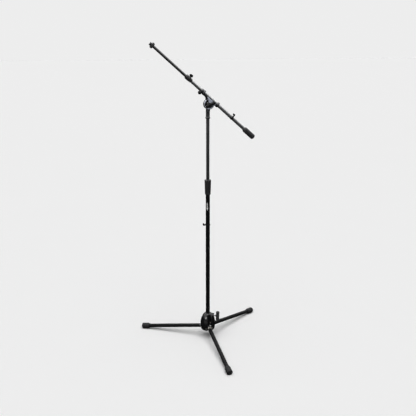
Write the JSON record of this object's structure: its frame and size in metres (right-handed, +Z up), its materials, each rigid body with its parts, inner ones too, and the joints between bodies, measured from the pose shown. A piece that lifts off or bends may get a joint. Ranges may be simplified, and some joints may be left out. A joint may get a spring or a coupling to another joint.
{
  "type": "boom microphone stand",
  "caption": "Folding tripod microphone stand with a telescopic mast, a tilting clutch and a telescopic boom with a counterweight.",
  "frame": {"origin": "centre of the underside of the mast's foot, on the mast's axis; the floor is 44 mm below it", "axes": "+Z up along the mast; the boom lies in the XZ plane, its microphone end towards -X and up; the clutch handle and one leg face -Y"},
  "size_m": [0.6764, 0.588, 1.5573],
  "materials": {
    "gloss_black": "moulded black plastic, polished",
    "matt_black": "fine-textured black plastic",
    "black_tube": "semi-gloss black powder coat on steel tube",
    "black_casting": "satin black painted die casting",
    "black_rubber": "matt black rubber",
    "zinc": "zinc-plated",
    "steel": "plain steel",
    "brass": "plain brass",
    "nylon": "dark grey nylon",
    "fibre": "pressed fibre"
  },
  "bodies": {
    "base": {"base_housing": "gloss_black", "leg_1_pin": "zinc", "leg_2_pin": "zinc", "leg_3_pin": "zinc"},
    "leg_1": {"leg_1_root": "zinc", "leg_1_tube": "black_tube", "leg_1_foot": "black_rubber"},
    "leg_2": {"leg_2_root": "zinc", "leg_2_tube": "black_tube", "leg_2_foot": "black_rubber"},
    "leg_3": {"leg_3_root": "zinc", "leg_3_tube": "black_tube", "leg_3_foot": "black_rubber"},
    "base_shoe": {"base_clamp_shoe": "brass"},
    "base_knob": {"base_clamp_knob": "matt_black"},
    "shaft": {"lower_tube": "black_tube", "shaft_foot_collar": "zinc", "shaft_foot_plug": "black_rubber", "mast_threaded_bush": "zinc", "mast_collet": "nylon"},
    "grip": {"mast_grip": "matt_black"},
    "mast_clip": {"mast_cable_clip": "matt_black"},
    "mast_bush": {"mast_slide_bush": "nylon"},
    "mast_upper": {"upper_tube": "black_tube", "clutch_neck": "black_casting", "clutch_bolt": "zinc", "friction_washer": "fibre"},
    "clutch_washer": {"clutch_pressure_washer": "zinc"},
    "clutch_handle": {"clutch_knob": "matt_black"},
    "cradle": {"boom_cradle": "black_casting", "boom_bush_front": "nylon", "boom_bush_rear": "nylon"},
    "cradle_pad": {"cradle_clamp_pad": "brass"},
    "cradle_screw": {"cradle_thumb_screw": "matt_black"},
    "boom_outer": {"boom_outer_tube": "black_tube", "tele_clutch_housing": "matt_black", "counterweight_core": "steel", "counterweight_sleeve": "black_rubber"},
    "boom_clip": {"boom_cable_clip": "matt_black"},
    "tele_pad": {"tele_clamp_pad": "brass"},
    "tele_screw": {"tele_thumb_screw": "matt_black"},
    "boom_bush": {"boom_inner_bush": "nylon"},
    "boom_inner": {"boom_inner_tube": "black_tube", "tip_thread_stud": "steel"},
    "tip_ring": {"tip_lock_ring": "matt_black"}
  },
  "joints": [
    {"name": "leg_1_fold", "type": "hinge", "parent": "base", "child": "leg_1", "pos_m": [0, -0.031, 0.0176], "axis": [-1, 0, 0], "range_deg": [0, 98]},
    {"name": "leg_2_fold", "type": "hinge", "parent": "base", "child": "leg_2", "pos_m": [0.02685, 0.0155, 0.0176], "axis": [0.5, -0.866, 0], "range_deg": [0, 98]},
    {"name": "leg_3_fold", "type": "hinge", "parent": "base", "child": "leg_3", "pos_m": [-0.02685, 0.0155, 0.0176], "axis": [0.5, 0.866, 0], "range_deg": [0, 98]},
    {"name": "shaft_slide", "type": "slide", "parent": "base", "child": "shaft", "axis": [0, 0, 1], "range_m": [-0.0239, 0]},
    {"name": "base_shoe_slide", "type": "slide", "parent": "base", "child": "base_shoe", "axis": [0.866, -0.5, 0], "range_m": [0, 0.00188]},
    {"name": "base_knob_turn", "type": "hinge", "parent": "base_shoe", "child": "base_knob", "pos_m": [0.0433, -0.025, 0.0865], "axis": [0.866, -0.5, 0], "range_deg": [0, 540]},
    {"name": "grip_twist", "type": "hinge", "parent": "shaft", "child": "grip", "pos_m": [0, 0, 0.811], "axis": [0, 0, 1], "range_deg": [0, 180]},
    {"name": "mast_clip_turn", "type": "hinge", "parent": "shaft", "child": "mast_clip", "pos_m": [0, 0, 0.61], "axis": [0, 0, 1], "continuous": true},
    {"name": "mast_slide", "type": "slide", "parent": "shaft", "child": "mast_bush", "axis": [0, 0, 1], "range_m": [-0.3, 0.36]},
    {"name": "mast_swivel", "type": "hinge", "parent": "mast_bush", "child": "mast_upper", "pos_m": [0, 0, 0.396], "axis": [0, 0, 1], "continuous": true},
    {"name": "clutch_washer_slide", "type": "slide", "parent": "mast_upper", "child": "clutch_washer", "axis": [0, -1, 0], "range_m": [0, 0.00188]},
    {"name": "clutch_knob_turn", "type": "hinge", "parent": "clutch_washer", "child": "clutch_handle", "pos_m": [0, -0.05, 1.2285], "axis": [0, -1, 0], "range_deg": [0, 540]},
    {"name": "boom_tilt", "type": "hinge", "parent": "mast_upper", "child": "cradle", "pos_m": [0, 0, 1.2285], "axis": [0, 1, 0], "range_deg": [-90, 45]},
    {"name": "cradle_pad_slide", "type": "slide", "parent": "cradle", "child": "cradle_pad", "axis": [-0.3002, 0.891, -0.3405], "range_m": [0, 0.00188]},
    {"name": "cradle_screw_turn", "type": "hinge", "parent": "cradle_pad", "child": "cradle_screw", "pos_m": [-0.04114, -0.01118, 1.28466], "axis": [-0.3002, 0.891, -0.3405], "range_deg": [0, 540]},
    {"name": "boom_slide", "type": "slide", "parent": "cradle", "child": "boom_outer", "axis": [-0.7501, 0, 0.6613], "range_m": [-0.063, 0.08]},
    {"name": "boom_clip_turn", "type": "hinge", "parent": "boom_outer", "child": "boom_clip", "pos_m": [0.11414, -0.029, 1.15987], "axis": [-0.7501, 0, 0.6613], "continuous": true},
    {"name": "tele_pad_slide", "type": "slide", "parent": "boom_outer", "child": "tele_pad", "axis": [0.6469, 0.2079, 0.7337], "range_m": [0, 0.00188]},
    {"name": "tele_screw_turn", "type": "hinge", "parent": "tele_pad", "child": "tele_screw", "pos_m": [-0.08746, -0.02484, 1.36368], "axis": [0.6469, 0.2079, 0.7337], "range_deg": [0, 540]},
    {"name": "boom_extend", "type": "slide", "parent": "boom_outer", "child": "boom_bush", "axis": [-0.7501, 0, 0.6613], "range_m": [-0.185, 0.125]},
    {"name": "boom_roll", "type": "hinge", "parent": "boom_bush", "child": "boom_inner", "pos_m": [0.02712, -0.029, 1.23658], "axis": [-0.7501, 0, 0.6613], "continuous": true},
    {"name": "tip_ring_turn", "type": "hinge", "parent": "boom_inner", "child": "tip_ring", "pos_m": [-0.26977, -0.029, 1.49833], "axis": [-0.7501, 0, 0.6613], "range_deg": [0, 360]}
  ],
  "couplings": [
    {"joint": "leg_1_fold", "follows": "shaft_slide", "rad_per_m": -71.43},
    {"joint": "leg_2_fold", "follows": "shaft_slide", "rad_per_m": -71.43},
    {"joint": "leg_3_fold", "follows": "shaft_slide", "rad_per_m": -71.43},
    {"joint": "base_knob_turn", "follows": "base_shoe_slide", "rad_per_m": 5000},
    {"joint": "clutch_knob_turn", "follows": "clutch_washer_slide", "rad_per_m": 5000},
    {"joint": "cradle_screw_turn", "follows": "cradle_pad_slide", "rad_per_m": 5000},
    {"joint": "tele_screw_turn", "follows": "tele_pad_slide", "rad_per_m": 5000}
  ]
}
